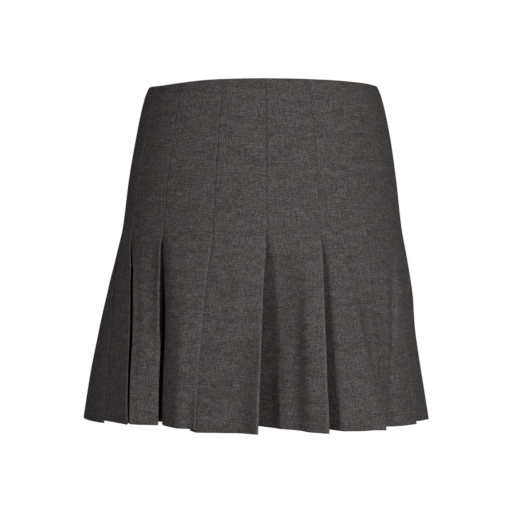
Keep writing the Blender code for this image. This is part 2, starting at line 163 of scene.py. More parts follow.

# Soft creases: the pleat whose panel it is in, the drops where it starts, is at full
# strength and has gone, the share across the panel where it runs at its start and at the hem, how
# far it spreads, and how far it swells out or in. A rise swells by that much along its right side.
# Each fades out above its end, and a ridge also towards the panel's start.
CREASE_FADES_OVER = 0.04
RIDGE_FREE_FROM = 0.125
Crease = namedtuple("Crease", "panel starts full ends from_share to_share spread swell")
RIDGES = [
    Crease(2, 0.175, 0.205, 0.320, 1.05, 1.05, 0.0080, 0.0045),
    Crease(3, 0.330, 0.395, 0.500, 1.12, 1.12, 0.0080, 0.0070),
    Crease(4, 0.230, 0.350, 0.500, 1.12, 1.12, 0.0180, 0.0145),
    Crease(5, 0.320, 0.360, 0.500, 0.34, 0.38, 0.0032, 0.0024),
    Crease(5, 0.320, 0.360, 0.500, 0.46, 0.50, 0.0028, 0.0022),
    Crease(5, 0.340, 0.380, 0.500, 1.00, 1.00, 0.0050, 0.0035),
    Crease(6, 0.175, 0.230, 0.500, 0.30, 1.00, 0.0085, 0.0055),
    Crease(7, 0.195, 0.235, 0.500, 0.98, 0.25, 0.0040, -0.0036),
    Crease(7, 0.195, 0.230, 0.300, 0.75, 0.60, 0.0030, -0.0012),
    Crease(8, 0.190, 0.260, 0.500, 0.60, 0.75, 0.0080, 0.0025),
    Crease(9, 0.200, 0.270, 0.500, 0.45, 0.60, 0.0090, 0.0040),
    Crease(10, 0.185, 0.240, 0.500, 0.30, 0.70, 0.0080, 0.0038),
    Crease(10, 0.300, 0.360, 0.500, 0.85, 0.90, 0.0060, 0.0020),
    Crease(11, 0.210, 0.280, 0.500, 0.55, 0.50, 0.0085, -0.0030),
    Crease(12, 0.230, 0.320, 0.500, 0.30, 0.28, 0.0150, 0.0050),
    Crease(12, 0.250, 0.340, 0.500, 0.80, 0.82, 0.0140, 0.0045),
    Crease(13, 0.190, 0.260, 0.500, 0.50, 0.80, 0.0090, 0.0040),
    Crease(14, 0.200, 0.280, 0.500, 0.60, 0.45, 0.0100, 0.0035),
]
RISES = [
    Crease(5, 0.170, 0.230, 0.500, 0.50, 0.60, 0.0380, 0.0170),
    Crease(5, 0.215, 0.290, 0.500, 0.66, 0.72, 0.0080, 0.0095),
    Crease(5, 0.230, 0.300, 0.500, 0.80, 0.84, 0.0260, 0.0060),
]

# Over a pleat's hidden layers the panel lies higher, with a soft step at the hidden fold
IMPRINT = 0.0005
IMPRINT_STEP = 0.010

# Along each fold's edge a highlight is painted into the cloth as a lighter tone, weaker where the pleats
# are stitched down
EDGE_HIGHLIGHT_WIDTH = 0.0014
EDGE_HIGHLIGHT_ABOVE = 0.05
EDGE_HIGHLIGHT_GROWS_OVER = 0.15

# How finely the cloth is laid out: rows down the skirt, and points across each stretch of a pleat
ROWS = np.concatenate([
    np.linspace(0.0, 0.012, 6)[:-1],
    np.linspace(0.012, 0.165, 24)[:-1],
    np.linspace(0.165, 0.200, 15)[:-1],
    np.linspace(0.200, LENGTH, 44),
])
NEAR_START = np.array([0.0, 0.00025, 0.0005, 0.00075, 0.0010, 0.0014, 0.0020, 0.0030])
NEAR_FOLD = np.array([0.0040, 0.0030, 0.0022, 0.0014, 0.0007, 0.0])
FACE_POINTS = 36
ZIP_EDGE = 28
FOLD_POINTS = 5
LAYER_POINTS = 7
HIDDEN_FOLD_POINTS = 3


def smooth_through(at, marks, values):
    """A smooth curve through the values at the marks.

    Between two marks it is a cubic. Its slope at a mark is the harmonic mean of the straight
    slopes to both sides, or level where those differ in sign, so that it never overshoots.
    """
    at = np.asarray(at, float)
    marks = np.asarray(marks, float)
    values = np.asarray(values, float)
    gaps = np.diff(marks)
    straight = np.diff(values) / gaps
    left, right = straight[:-1], straight[1:]
    total = np.where(left * right > 0, left + right, 1.0)
    inner = np.where(left * right > 0, 2 * left * right / total, 0.0)
    slope = np.concatenate([straight[:1], inner, straight[-1:]])
    last = np.clip(np.searchsorted(marks, at, side="right") - 1, 0, len(gaps) - 1)
    share = (at - marks[last]) / gaps[last]
    rise = values[last + 1] - values[last]
    bend = slope[last] * share * (1 - share) ** 2 - slope[last + 1] * share ** 2 * (1 - share)
    return values[last] + rise * share ** 2 * (3 - 2 * share) + gaps[last] * bend


def ease(share):
    """0 below 0, 1 above 1, and the smooth step 3 share^2 - 2 share^3 between."""
    share = np.clip(share, 0.0, 1.0)
    return share * share * (3 - 2 * share)


class Ovals:
    """The ovals at all rows at once, measured by arc length from the middle of the front.

    A point lies half the width times the sine of its angle to the side, and half the depth times
    the cosine to the front.
    """

    def __init__(self, drops):
        level_drops = [row.drop for row in LEVELS]
        columns = ("half_width", "half_depth", "swing")
        half_width, half_depth, swing = (
            smooth_through(drops, level_drops, [getattr(row, column) for row in LEVELS])[:, None]
            for column in columns
        )
        self.half_width, self.half_depth, self.swing = half_width, half_depth, swing
        self.angles = np.radians(np.arange(FIRST_DEGREE, LAST_DEGREE + 1.0))
        steps = np.hypot(
            np.diff(half_width * np.sin(self.angles), axis=1),
            np.diff(half_depth * np.cos(self.angles), axis=1),
        )
        arcs = np.concatenate([np.zeros_like(half_width), np.cumsum(steps, axis=1)], axis=1)
        self.arcs = arcs - arcs[:, -FIRST_DEGREE][:, None]

    def arc(self, degrees):
        """Arc length at an angle for each row."""
        angles = np.broadcast_to(np.radians(degrees), len(self.arcs))
        return np.array([np.interp(a, self.angles, row) for a, row in zip(angles, self.arcs)])

    def angle(self, arc):
        """Angle at each arc length, row by row."""
        return np.array([np.interp(a, row, self.angles) for a, row in zip(arc, self.arcs)])

    def place(self, arc, out):
        """x and y of the points at these arc lengths, moved out along the ovals' normals."""
        angle = self.angle(arc)
        across = self.half_depth * np.sin(angle)
        along = -self.half_width * np.cos(angle)
        size = np.hypot(across, along)
        x = self.swing + self.half_width * np.sin(angle) + out * across / size
        y = -self.half_depth * np.cos(angle) + out * along / size
        return x, y


def below_stitching(drop):
    """The share of the way from the end of the stitching, 0, to the hem, 1."""
    return np.clip((drop - STITCHED) / (LENGTH - STITCHED), 0.0, 1.0)


def openness(drop):
    """How far the pleats have opened, which eases in over the first stretch below the stitching."""
    part = below_stitching(drop)
    return part ** OPENING_POWER * ease(part / OPENING_SHARE)


def lies_apart(drop, pleat):
    """How far a panel lies apart from the fold before it: a smooth curve through four values."""
    values = [0.0, 0.5 * pleat.apart, pleat.apart, pleat.apart_hem]
    return smooth_through(below_stitching(drop), APART_MARKS, values)


def edges_apart(drop, at_rest):
    """How far apart the panel's edges lie beside the zip, closing evenly below the slider."""
    return np.interp(drop, [EDGES_APART_TO, EDGES_MEET_AT], [EDGES_APART_AT_SLIDER, at_rest])


def strength(crease, drop):
    """How strong a crease is at this drop: it fades in from its start and out to its end."""
    coming = ease((drop - crease.starts) / (crease.full - crease.starts))
    return coming * ease((crease.ends - drop) / CREASE_FADES_OVER)


def from_crease(crease, share, size, drop):
    """The distance from a crease's middle to each point across the panel, in spreads."""
    down = np.clip((drop - crease.starts) / (LENGTH - crease.starts), 0.0, 1.0)
    middle = crease.from_share + (crease.to_share - crease.from_share) * down
    return (share - middle) * size / crease.spread


def risen(index, drop):
    """How much further in a panel starts because of the rises across it."""
    return sum(rise.swell * strength(rise, drop) for rise in RISES if rise.panel == index)


def creased(index, share, size, drop):
    """The sum of this panel's creases, each faded in and out down the panel.

    A ridge is a bell, exp(-distance^2), and a rise a smooth step up to where the panel lies.
    """
    ridges = [
        ridge.swell * strength(ridge, drop) * np.exp(-(from_crease(ridge, share, size, drop) ** 2))
        for ridge in RIDGES if ridge.panel == index
    ]
    rises = [
        rise.swell * strength(rise, drop) * (ease(0.5 + from_crease(rise, share, size, drop)) - 1.0)
        for rise in RISES if rise.panel == index
    ]
    return sum(ridges) * ease(share / RIDGE_FREE_FROM) + sum(rises)


def face_out(index, share, size, climb_over, start_out, lap_share, drop, opened):
    """How far out a panel lies at a share across it, from 0 at its start to 1 at its fold.

    It climbs from its start by a power of what is left of the climb, 1 for a straight climb and 2
    for one that rounds off all the way. It stands out towards its fold by the square of the
    share, and adds a bell for its soft fold, its creases and the step over its hidden layers.
    """
    pleat = PLEATS[index]
    climb = np.clip(1.0 - share * size / climb_over, 0.0, 1.0) ** PLEATS[index - 1].easing
    bell = np.exp(-(((share - pleat.fold_at) / SOFT_FOLD_SPREAD) ** 2)) * np.sin(math.pi * share)
    step = ease(0.5 + (share - (1 - lap_share)) * size / IMPRINT_STEP) - 1.0
    soft = opened * (pleat.stand * share ** 2 + pleat.fold_out * bell)
    return start_out * climb + soft + IMPRINT * step * (1 - opened) + creased(index, share, size, drop)


def half_round(middle_arc, middle_out, radius, count, side):
    """Points round a fold: half a circle in arc and out, between its two plies."""
    turns = math.pi * (np.arange(count) + 1) / (count + 1)
    arc = middle_arc[:, None] + side * radius[:, None] * np.sin(turns)
    out = middle_out[:, None] + radius[:, None] * np.cos(turns)
    return arc, out


def pleated_panels(drops):
    """For each pleat, the cloth's middle line at every row.

    It comes as the arc, how far out, how much lower it hangs and how much painted highlight it takes
    on a fold's edge, row by point.
    """
    ovals = Ovals(drops)
    drop = drops[:, None]
    opened = openness(drops)
    folds = [
        ovals.arc(smooth_through(drops, MARKS, row[:5])) for row in FOLDS
    ]
    round_once = ovals.arc(ONCE_ROUND)
    lap_stitched = np.interp(drops, [0.0, STITCHED], [LAP_AT_WAIST, LAP_WHERE_STITCHING_ENDS])
    seam = ovals.arc(CENTRE_BACK)
    panels = []
    for index, pleat in enumerate(PLEATS):
        before = PLEATS[index - 1]
        fold = folds[index]
        start = folds[index - 1] + lies_apart(drops, before) - (round_once if index == 0 else 0.0)
        start_out = START_OUT - before.sink * opened
        lap = lap_stitched + (pleat.lap - lap_stitched) * below_stitching(drops)
        size = fold - start
        lap_share = lap / size
        climb_over = before.groove + (before.climb - before.groove) * np.sqrt(below_stitching(drops))

        def face(share):
            columns = [size, climb_over, start_out, lap_share]
            values = [column[:, None] for column in columns]
            return face_out(index, share, *values, drop, opened[:, None])

        # Points across the panel lie closer together at its start, its fold and the zip's seam
        near = NEAR_START / size[:, None]
        near_fold = 1 - NEAR_FOLD / size[:, None]
        even = np.linspace(0.0, 1.0, FACE_POINTS - len(NEAR_START) - len(NEAR_FOLD) + 2)[1:-1]
        inner = near[:, -1:] + (near_fold[:, :1] - near[:, -1:]) * even
        share = np.concatenate([near, inner, near_fold], axis=1)
        if index == ZIP_PANEL:
            gap = edges_apart(drops, 0.0) / 2
            to_seam = ((seam - gap - start) / size)[:, None]
            from_seam = ((seam + gap - start) / size)[:, None]
            half = np.sin(np.linspace(0.0, 1.0, ZIP_EDGE - len(NEAR_START) + 1)[1:] * math.pi / 2)
            onward = near[:, -1:] + (to_seam - near[:, -1:]) * half
            before_seam = np.concatenate([near, onward], axis=1)
            after_seam = 1 - (1 - from_seam) * np.append(half[::-1], 0.0)
            share = np.concatenate([before_seam, after_seam], axis=1)
        arcs = start[:, None] + size[:, None] * share
        outs = face(share)
        if index == ZIP_PANEL:
            edge = np.abs(arcs - seam[:, None]) - gap[:, None]
            outs = outs - EDGE_ROLLS_IN * np.exp(-(edge / EDGE_ROLLS_OVER) ** 2)

        # Under the panel, the cloth runs back to the hidden fold and then on to the next panel
        over_layers = np.linspace(0.0, 1.0, LAYER_POINTS)
        layer_share = 1 - lap_share[:, None] * (1 - over_layers)
        layer_arcs = start[:, None] + size[:, None] * layer_share
        over = face(layer_share)
        edge_out = outs[:, -1:]
        hidden = (HIDDEN_OUT - pleat.hidden * opened)[:, None]
        rounder = 1 + pleat.rounds * np.sqrt(below_stitching(drop))
        pitch = PLY_PITCH * rounder * np.hypot(1.0, (edge_out - hidden) / lap[:, None])
        back_start = hidden + pitch / 2
        back = np.minimum(back_start + (edge_out - pitch - back_start) * over_layers, over - pitch)
        under_start = hidden - pitch / 2
        next_index = (index + 1) % len(PLEATS)
        deeper = (pleat.sink + pleat.cave) * opened + risen(next_index, drops)
        next_out = (START_OUT - deeper)[:, None]
        under = np.minimum(under_start + (next_out - under_start) * over_layers, back - pitch)

        tip_middle = (edge_out - pitch / 2)[:, 0]
        tip_arc, tip_out = half_round(fold, tip_middle, pitch[:, 0] / 2, FOLD_POINTS, 1)
        hidden_middle = (back[:, 0] + under[:, 0]) / 2
        hidden_radius = (back[:, 0] - under[:, 0]) / 2
        inner_arc, inner_out = half_round(
            layer_arcs[:, 0], hidden_middle, hidden_radius, HIDDEN_FOLD_POINTS, -1
        )
        arc = np.concatenate([arcs, tip_arc, layer_arcs[:, ::-1], inner_arc, layer_arcs[:, :-1]], axis=1)
        out = np.concatenate([outs, tip_out, back[:, ::-1], inner_out, under[:, :-1]], axis=1)
        faces_end = arcs.shape[1]

        # The highlight painted along the fold's edge: a bell beside the fold, full round its tip, weaker
        # where stitched
        painted_edge_light = np.zeros(arc.shape)
        painted_edge_light[:, :faces_end] = np.exp(-(((fold[:, None] - arcs) / EDGE_HIGHLIGHT_WIDTH) ** 2))
        painted_edge_light[:, faces_end : faces_end + FOLD_POINTS] = 1.0
        grown = ease(below_stitching(drop) / EDGE_HIGHLIGHT_GROWS_OVER)
        painted_edge_light = painted_edge_light * pleat.worn * (EDGE_HIGHLIGHT_ABOVE + (1 - EDGE_HIGHLIGHT_ABOVE) * grown)

        # The hem's height runs evenly across a panel and steps at the hidden fold
        line = FOLDS[index]
        line_before = FOLDS[index - 1]
        low = np.full(arc.shape, line.low_edge)
        low[:, :faces_end] = line_before.low_after + (line.low_edge - line_before.low_after) * share
        low[:, 1 - LAYER_POINTS :] = line.low_after
        panels.append((arc, out, low * opened[:, None], painted_edge_light))
    return ovals, panels


def placed(ovals, drops, panel):
    """A panel's points as x, y, z and the painted highlight each takes on a fold's edge.

    The dip in the top edge is a bell round the oval, and fades out evenly down the cloth.
    """
    arc, out, low, painted_edge_light = panel
    x, y = ovals.place(arc, out)
    fade = np.clip(1.0 - drops / TOP_DIP_FADES_BY, 0.0, 1.0)[:, None]
    degrees = np.degrees(ovals.angle(arc))
    dip = TOP_DIP * fade * np.exp(-(((degrees - TOP_DIP_AT) / TOP_DIP_SPREAD) ** 2))
    return np.stack([x, y, -drops[:, None] - low - dip, painted_edge_light], axis=2)


def unit(vectors):
    """Each vector at length 1."""
    return vectors / np.maximum(np.linalg.norm(vectors, axis=-1, keepdims=True), 1e-12)


def cloth_piece(name, points, lengths, thickness, rim_points=3):
    """A closed piece of cloth on a grid of points, row by row.

    One skin lies half a thickness along the surface's normal and the other as far behind it. At
    the top and the hem they meet in half a circle, and at both sides in a flat edge.
    The map's u is the length along the cloth and its v the drop, both in metres. A point's fourth
    value, the painted highlight it takes on a fold's edge, becomes a point attribute that the shader reads.
    """
    points, painted_edge_light = points[..., :3], points[..., 3]
    along = unit(np.gradient(points, axis=1))
    down = unit(np.gradient(points, axis=0))
    normal = unit(np.cross(along, down)) * thickness / 2
    turns = math.pi * (np.arange(rim_points) + 1)[:, None, None] / (rim_points + 1)
    hem = points[-1] + normal[-1] * np.cos(turns) + down[-1] * thickness / 2 * np.sin(turns)
    top = points[0] - normal[0] * np.cos(turns) - down[0] * thickness / 2 * np.sin(turns)
    loop = np.concatenate([points + normal, hem, (points - normal)[::-1], top])
    rows, count = loop.shape[:2]
    falls = np.linalg.norm(np.diff(points, axis=0), axis=2).mean(axis=1)
    drops_down = np.concatenate([[0.0], np.cumsum(falls)])
    v = np.concatenate([
        drops_down, np.full(rim_points, drops_down[-1]), drops_down[::-1], np.zeros(rim_points)
    ])
    source = np.concatenate([
        np.arange(len(points)), np.full(rim_points, len(points) - 1), np.arange(len(points))[::-1],
        np.zeros(rim_points, int),
    ])
    row, column = np.meshgrid(np.arange(rows), np.arange(count - 1), indexing="ij")
    here = row * count + column
    after = ((row + 1) % rows) * count + column
    quads = np.stack([here + 1, after + 1, after, here], axis=2).reshape(-1, 4)
    left, right = lengths[source, :, 0], lengths[source, :, 1]
    shape = (rows, count - 1)
    v_here = np.broadcast_to(v[:, None], shape)
    v_after = np.broadcast_to(np.concatenate([v[1:], [0.0]])[:, None], shape)
    left_after, right_after = np.roll(left, -1, axis=0), np.roll(right, -1, axis=0)
    uv = np.stack(
        [
            np.stack([right, v_here], axis=2), np.stack([right_after, v_after], axis=2),
            np.stack([left_after, v_after], axis=2), np.stack([left, v_here], axis=2),
        ],
        axis=2,
    ).reshape(-1, 2)

    # Both sides are closed with a strip of quads between the two skins
    height = len(points)
    ahead = np.arange(height)
    behind = height + rim_points + np.arange(height)[::-1]
    caps = []
    for side, flip in ((0, False), (count - 1, True)):
        strip = np.stack([ahead[:-1], behind[:-1], behind[1:], ahead[1:]], axis=1) * count + side
        ends = [
            [ahead[-1]] + list(range(height, height + rim_points)) + [behind[-1]],
            [behind[0]] + list(range(2 * height + rim_points, rows)) + [ahead[0]],
        ]
        ends = [[i * count + side for i in end] for end in ends]
        caps.append((strip[:, ::-1] if flip else strip, ends, flip))
    mesh = bpy.data.meshes.new(name)
    faces = quads.tolist()
    for strip, ends, flip in caps:
        faces += strip.tolist()
        faces += [end if flip else end[::-1] for end in ends]
    mesh.from_pydata(loop.reshape(-1, 3).tolist(), [], faces)
    layer = mesh.uv_layers.new(name="cloth")
    values = np.zeros((len(mesh.loops), 2))
    values[: len(uv)] = uv
    layer.data.foreach_set("uv", values.astype(np.float32).ravel())
    on_edge = mesh.attributes.new("painted_edge_light", "FLOAT", "POINT")
    on_edge.data.foreach_set("value", painted_edge_light[source].astype(np.float32).ravel())
    mesh.shade_smooth()
    mesh.update()
    piece = bpy.data.objects.new(name, mesh)
    bpy.context.scene.collection.objects.link(piece)
    return piece


PANELS_APART_ON_MAP = 0.37
ovals, panels = pleated_panels(ROWS)
panel_points = [placed(ovals, ROWS, panel) for panel in panels]


def stretch_of(index, first, last):
    """A stretch of one panel's points, and each column's length along the cloth at both its sides.

    The length is measured from the panel's middle, so that the cloth's threads run down along it,
    and it goes on to the first point of the next stretch.
    """
    points = panel_points[index]
    following = panel_points[(index + 1) % len(PLEATS)][:, :1]
    whole = np.concatenate([points, following], axis=1)
    steps = np.linalg.norm(np.diff(whole[..., :3], axis=1), axis=2)
    length = np.concatenate([np.zeros((len(ROWS), 1)), np.cumsum(steps, axis=1)], axis=1)
    middle = FACE_POINTS // 2
    length = length - length[:, middle : middle + 1] + index * PANELS_APART_ON_MAP
    pairs = np.stack([length[:, :-1], length[:, 1:]], axis=2)
    return points[:, first:last], pairs[:, first:last]


def joined(stretches):
    """Stretches of panels put end to end. The last point has no column of its own."""
    points = np.concatenate([stretch[0] for stretch in stretches], axis=1)
    pairs = np.concatenate([stretch[1] for stretch in stretches], axis=1)
    return points, pairs[:, :-1]


# The side seams lie in the hidden layers of two pleats, two points before the next panel's start
UNDERLAY = -2
front = [stretch_of(0, UNDERLAY, None)]
front += [stretch_of(index, 0, None) for index in range(1, FRONT_ENDS_AT)]
front += [stretch_of(FRONT_ENDS_AT, 0, UNDERLAY + 1)]
back_left = [stretch_of(FRONT_ENDS_AT, UNDERLAY, None)]
back_left += [stretch_of(index, 0, None) for index in range(FRONT_ENDS_AT + 1, ZIP_PANEL)]
back_left += [stretch_of(ZIP_PANEL, 0, ZIP_EDGE)]
back_right = [stretch_of(ZIP_PANEL, ZIP_EDGE, None)]
back_right += [stretch_of(index, 0, None) for index in range(ZIP_PANEL + 1, len(PLEATS))]
back_right += [stretch_of(0, 0, UNDERLAY + 1)]


# Wool suiting: a plain weave of dark and light fibres spun together, so each thread changes tone
# along its length. It is matt, with a short soft nap, and a little warmer or cooler in places.
class Socket:
    """One output of a node, or a plain number, with arithmetic that adds the nodes for it."""

    def __init__(self, tree, value):
        self.tree = tree
        self.value = value

    def node(self, kind, settings=None, **sockets):
        """Add a node, with its settings first and then its sockets' values or links.

        A socket goes by its name, or as i and its number where several share one name.
        """
        made = self.tree.nodes.new(kind)
        for name, value in (settings or {}).items():
            setattr(made, name, value)
        for name, value in sockets.items():
            label = int(name[1:]) if name[1:].isdigit() else name
            if isinstance(value, Socket):
                self.tree.links.new(value.value, made.inputs[label])
            else:
                made.inputs[label].default_value = value
        return made

    def out(self, made, label=0):
        return Socket(self.tree, made.outputs[label])

    def maths(self, operation, *values):
        inputs = {f"i{k}": value for k, value in enumerate(values)}
        return self.out(self.node("ShaderNodeMath", {"operation": operation}, **inputs))

    def __add__(self, other):
        return self.maths("ADD", self, other)

    def __radd__(self, other):
        return self.maths("ADD", other, self)

    def __sub__(self, other):
        return self.maths("SUBTRACT", self, other)

    def __rsub__(self, other):
        return self.maths("SUBTRACT", other, self)

    def __mul__(self, other):
        return self.maths("MULTIPLY", self, other)

    def __rmul__(self, other):
        return self.maths("MULTIPLY", other, self)

    def __truediv__(self, other):
        return self.maths("DIVIDE", self, other)

    def __rtruediv__(self, other):
        return self.maths("DIVIDE", other, self)

    def sine(self):
        return self.maths("SINE", self)

    def power(self, exponent):
        return self.maths("POWER", self, exponent)

    def clamped(self):
        return self.out(self.node("ShaderNodeClamp", Value=self, Min=0.0, Max=1.0))

    def between(self, low, high):
        """0 below low, 1 above high, and a smooth step between."""
        settings = {"interpolation_type": "SMOOTHSTEP"}
        made = self.node("ShaderNodeMapRange", settings, Value=self, i1=low, i2=high, i3=0.0, i4=1.0)
        return self.out(made)

    def colour(self, dark, light):
        """A mix of two colours, with this socket as the share of the second."""
        made = self.node("ShaderNodeMix", {"data_type": "RGBA"}, Factor=self)
        for slot, value in ((6, dark), (7, light)):
            if isinstance(value, Socket):
                self.tree.links.new(value.value, made.inputs[slot])
            else:
                made.inputs[slot].default_value = (*value, 1.0)
        return self.out(made, 2)


def new_material(name):
    """A material with its Principled shader, and a start for its expressions."""
    material = bpy.data.materials.new(name)
    material.use_nodes = True
    shader = material.node_tree.nodes["Principled BSDF"]
    return material, shader, Socket(material.node_tree, 0.0)


def on_cloth(start):
    """The cloth's own map as two sockets: the length along the cloth and the drop, in metres."""
    mapped = start.node("ShaderNodeUVMap", {"uv_map": "cloth"})
    parts = start.node("ShaderNodeSeparateXYZ", Vector=start.out(mapped))
    return start.out(parts, "X"), start.out(parts, "Y")


def in_object(start):
    """The piece's own coordinates, in metres."""
    return start.out(start.node("ShaderNodeTexCoord"), "Object")


# Noise on the cloth's own map: how large its patches are across and down, in metres
Noise = namedtuple("Noise", "across down detail seed")


def stretched_noise(start, place, noise):
    """Noise from 0 to 1, read at the place divided by the patches' size."""
    u, v = place
    reading = start.node("ShaderNodeCombineXYZ", X=u / noise.across, Y=v / noise.down, Z=noise.seed)
    made = start.node(
        "ShaderNodeTexNoise", Vector=start.out(reading), Scale=1.0, Detail=noise.detail, Roughness=0.5
    )
    return start.out(made)


# Noise for the threads that run down, those that run across, flecks in both and faint clouds makes
# the melange. The weave itself is a wave down times a wave across.
THREAD = 0.00046
THREADS_DOWN = Noise(0.0011, 0.0060, 2.0, 1.7)
THREADS_ACROSS = Noise(0.0120, 0.0012, 2.0, 5.2)
FLECKS = Noise(0.0015, 0.0012, 3.0, 9.1)
CLOUDS = Noise(0.034, 0.007, 1.0, 3.3)
WARMTH = Noise(0.020, 0.022, 1.0, 7.9)
SUITING_DARK = (0.035, 0.0308, 0.0318)
SUITING_LIGHT = (0.153, 0.1372, 0.1418)
SUITING_WARM = (0.153, 0.1382, 0.1350)
WARMER_FROM = 0.42
WARMEST_AT = 0.60

# How much each of these shifts the tone, which is then raised to a power and made lighter
DOWN_TONE = 0.75
ACROSS_TONE = 0.72
FLECK_TONE = 1.7
CLOUD_TONE = 0.20
TONE_POWER = 2.2
TONE_LIGHTER = 1.45
# How much the highlight painted along the folds' edges lightens the tone
EDGE_HIGHLIGHT_LIGHTER = 0.22
WEAVE_TONE = 0.14

# How much each stands up from the cloth
WEAVE_RELIEF = 0.5
FLECK_RELIEF = 0.8
THREAD_RELIEF = 0.6

suiting, shader, start = new_material("wool suiting")
u, v = on_cloth(start)
down, across, fleck, cloudy = (
    stretched_noise(start, (u, v), noise) - 0.5
    for noise in (THREADS_DOWN, THREADS_ACROSS, FLECKS, CLOUDS)
)
warm = stretched_noise(start, (u, v), WARMTH).between(WARMER_FROM, WARMEST_AT)
turn = 2 * math.pi / THREAD
weave = (u * turn).sine() * (v * turn).sine()
# The highlight painted along the folds' edges, read from the cloth's points, lightens the tone there
painted_edge_light = start.out(start.node("ShaderNodeAttribute", {"attribute_name": "painted_edge_light"}), "Fac")
melange = 0.5 + down * DOWN_TONE + across * ACROSS_TONE + fleck * FLECK_TONE + cloudy * CLOUD_TONE
tone = melange.clamped().power(TONE_POWER) * TONE_LIGHTER + painted_edge_light * EDGE_HIGHLIGHT_LIGHTER
light_fibre = warm.colour(SUITING_LIGHT, SUITING_WARM)
cloth_colour = (tone + weave * WEAVE_TONE).clamped().colour(SUITING_DARK, light_fibre)
start.tree.links.new(cloth_colour.value, shader.inputs["Base Color"])
height = weave * WEAVE_RELIEF + fleck * FLECK_RELIEF + down * THREAD_RELIEF + across * THREAD_RELIEF
bump = start.node("ShaderNodeBump", Strength=0.35, Distance=0.00012, Height=height)
start.tree.links.new(bump.outputs[0], shader.inputs["Normal"])
shader.inputs["Roughness"].default_value = 0.93
shader.inputs["Specular IOR Level"].default_value = 0.12
shader.inputs["Sheen Weight"].default_value = 0.04
shader.inputs["Sheen Roughness"].default_value = 0.55

for name, stretches in (
    ("cloth_front", front), ("cloth_back_left", back_left), ("cloth_back_right", back_right)
):
    points, pairs = joined(stretches)
    piece = cloth_piece(name, points, pairs, CLOTH_THICKNESS)
    piece.data.materials.append(suiting)
    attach(piece, "skirt")
    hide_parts(name.replace("cloth", "skirt"))

    # The lengths between its points across and down, and the area of each cell between them
    across = np.linalg.norm(np.diff(points[..., :3], axis=1), axis=2)
    falls = np.linalg.norm(np.diff(points[..., :3], axis=0), axis=2)
    cell = across[:-1] * falls[:, :-1]

# Zip tapes: two narrow woven polyester tapes, one behind each edge of the back seam, sewn to its
# turnings on the inside. They run from just under the top edge to the zip's end.
TAPE_TOP = 0.003
ZIP_LENGTH = 0.180
TAPE_WIDTH = 0.012
TAPE_THICKNESS = 0.0005
TAPE_OUT = -0.00158
TAPES_APART = 0.0006
TAPE_ROWS = 70
TAPE_POINTS = 9
TAPE_DARK = (0.026, 0.0235, 0.0242)
TAPE_LIGHT = (0.066, 0.0600, 0.0615)
TAPE_RIB = 0.0007
RIB_TONE = 0.3
TAPE_FIBRES = Noise(0.0012, 0.0030, 1.0, 2.4)

zip_tape, shader, start = new_material("zip tape")
u, v = on_cloth(start)
turn = 2 * math.pi / TAPE_RIB
ribs = ((u + v) * turn).sine() * 0.5 + ((u - v) * turn).sine() * 0.5
fibres = stretched_noise(start, (u, v), TAPE_FIBRES)
tape_colour = (ribs * RIB_TONE + fibres).clamped().colour(TAPE_DARK, TAPE_LIGHT)
start.tree.links.new(tape_colour.value, shader.inputs["Base Color"])
bump = start.node("ShaderNodeBump", Strength=0.5, Distance=0.0001, Height=ribs)
start.tree.links.new(bump.outputs[0], shader.inputs["Normal"])
shader.inputs["Roughness"].default_value = 0.8
shader.inputs["Specular IOR Level"].default_value = 0.25

tape_drops = np.linspace(TAPE_TOP, ZIP_LENGTH, TAPE_ROWS)
tape_ovals = Ovals(tape_drops)
tape_seam = tape_ovals.arc(CENTRE_BACK)[:, None]
nearer = edges_apart(tape_drops, TAPES_APART)[:, None] / 2
over = np.linspace(0.0, 1.0, TAPE_POINTS)
for name, side in (("zip_tape_left", -1), ("zip_tape_right", 1)):
    away = nearer + (TAPE_WIDTH - nearer) * (over if side > 0 else over[::-1])
    x, y = tape_ovals.place(tape_seam + side * away, TAPE_OUT)
    z = np.broadcast_to(-tape_drops[:, None], x.shape)
    points = np.stack([x, y, z, np.zeros(x.shape)], axis=2)
    tape = cloth_piece(
        name + "_woven", points, np.stack([away[:, :-1], away[:, 1:]], axis=2), TAPE_THICKNESS
    )
    tape.data.materials.append(zip_tape)
    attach(tape, "skirt")
    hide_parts(name)
    falls = np.linalg.norm(np.diff(points[:, 0, :3], axis=0), axis=1)

# Zip coil: the meshed teeth of the closed zip, two nylon monofilaments wound to flat spirals whose
# loops catch in each other, sewn along the tapes' inner edges. It runs from the slider to the end.
COIL_TOP = 0.0125
COIL_PITCH = 0.0013
COIL_WIRE = 0.00028
COIL_SIDES = 6
COIL_STEPS = 14
COIL_OUT = -0.0028
COIL_HALF_WIDTH = 0.0010
COIL_HALF_DEPTH = 0.00042
COIL_OFFSET = 0.00055
COIL_DARK = (0.036, 0.0338, 0.034)
COIL_LIGHT = (0.062, 0.0585, 0.0585)
COIL_GRAIN = 900.0

coil_material, shader, start = new_material("zip coil")
shader.inputs["Roughness"].default_value = 0.45
patchy = start.out(
    start.node("ShaderNodeTexNoise", Vector=in_object(start), Scale=COIL_GRAIN, Detail=1.0)
)
coil_colour = patchy.colour(COIL_DARK, COIL_LIGHT)
start.tree.links.new(coil_colour.value, shader.inputs["Base Color"])


